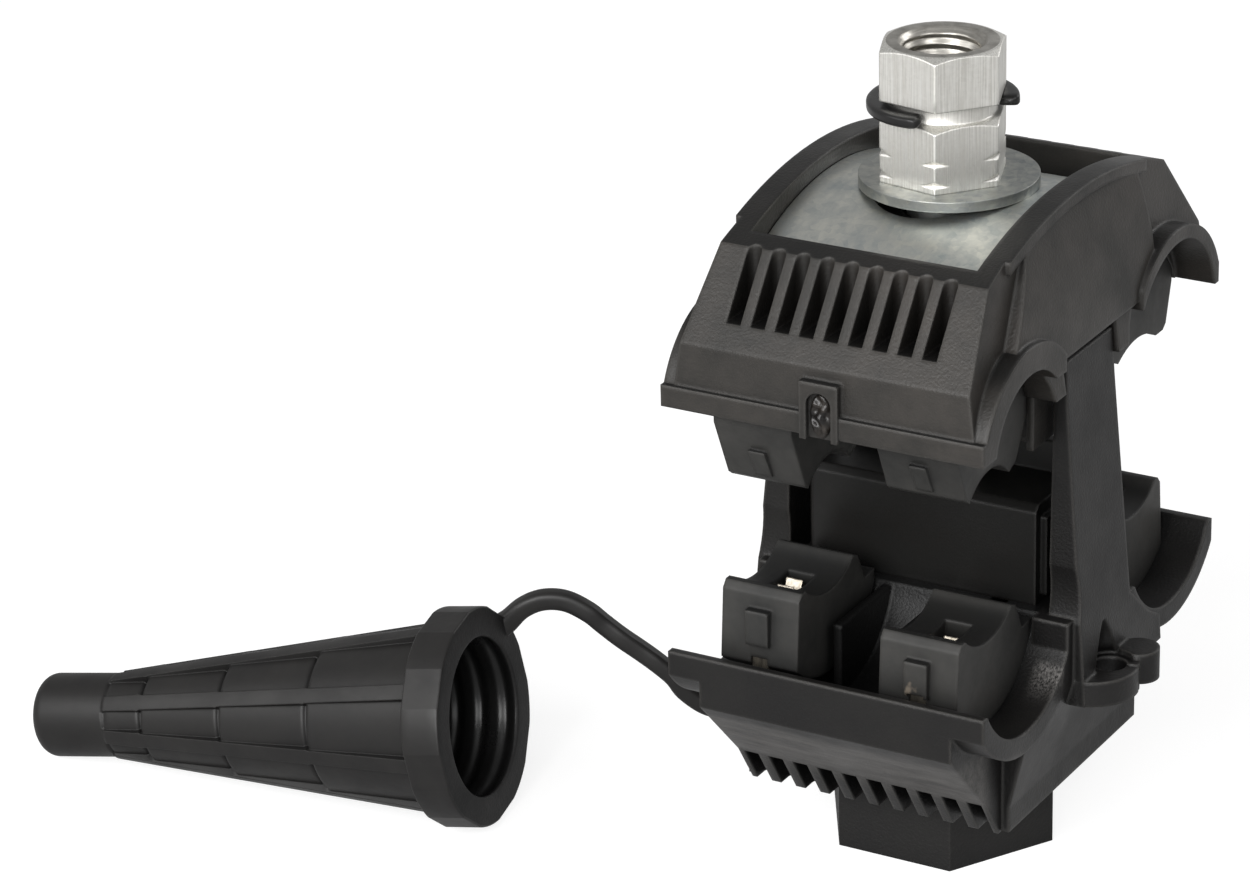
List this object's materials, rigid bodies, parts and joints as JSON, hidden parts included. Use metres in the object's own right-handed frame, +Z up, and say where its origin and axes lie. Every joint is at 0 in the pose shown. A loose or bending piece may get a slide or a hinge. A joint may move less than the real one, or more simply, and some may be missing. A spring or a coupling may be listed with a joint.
{
  "type": "insulation piercing connector",
  "caption": "Open insulation piercing cable connector: two moulded half shells with rubber seals and toothed blades, clamped by a bolt with a shear nut, and a tethered cable end cap.",
  "frame": {"origin": "on the clamp bolt's axis, at the flat underside of the bolt head's cover, which stands on the table", "axes": "+Z up along the clamp bolt, +X along the cables, -Y towards the tap cable's side, which faces the front"},
  "size_m": [0.1283, 0.0701, 0.0942],
  "materials": {
    "shell_nylon": "moulded, slightly glossy glass-filled nylon",
    "cover_nylon": "coarse grained nylon",
    "soft_seal": "satin moulded rubber",
    "cap_rubber": "satin soft plastic",
    "zinc_steel": "zinc plated",
    "nut_alloy": "machined",
    "blade_metal": "tinned",
    "marker_plastic": "moulded"
  },
  "bodies": {
    "lower_half": {"lower_shell": "shell_nylon", "bolt_head_cover": "cover_nylon", "clamp_bolt": "zinc_steel", "bolt_shroud": "shell_nylon", "blade_lower_left": "blade_metal", "blade_lower_right": "blade_metal", "seal_lower_front_left": "soft_seal", "seal_lower_front_right": "soft_seal", "seal_lower_back_left": "soft_seal", "seal_lower_back_right": "soft_seal", "end_cap": "cap_rubber", "cap_tether": "cap_rubber", "tether_button": "cap_rubber"},
    "upper_half": {"upper_shell": "shell_nylon", "pressure_plate": "zinc_steel", "flat_washer": "zinc_steel", "blade_upper_left": "blade_metal", "blade_upper_right": "blade_metal", "seal_upper_front_left": "soft_seal", "seal_upper_front_right": "soft_seal", "seal_upper_back_left": "soft_seal", "seal_upper_back_right": "soft_seal"},
    "nut": {"shear_nut": "nut_alloy", "marker_ring": "marker_plastic"}
  },
  "joints": [
    {"name": "upper_slide", "type": "slide", "parent": "lower_half", "child": "upper_half", "axis": [0, 0, -1], "range_m": [0, 0.008]},
    {"name": "nut_turn", "type": "hinge", "parent": "upper_half", "child": "nut", "pos_m": [0, 0, 0.085], "axis": [0, 0, -1], "range_deg": [0, 2304]}
  ],
  "couplings": [
    {"joint": "nut_turn", "follows": "upper_slide", "rad_per_m": 5026.5}
  ]
}
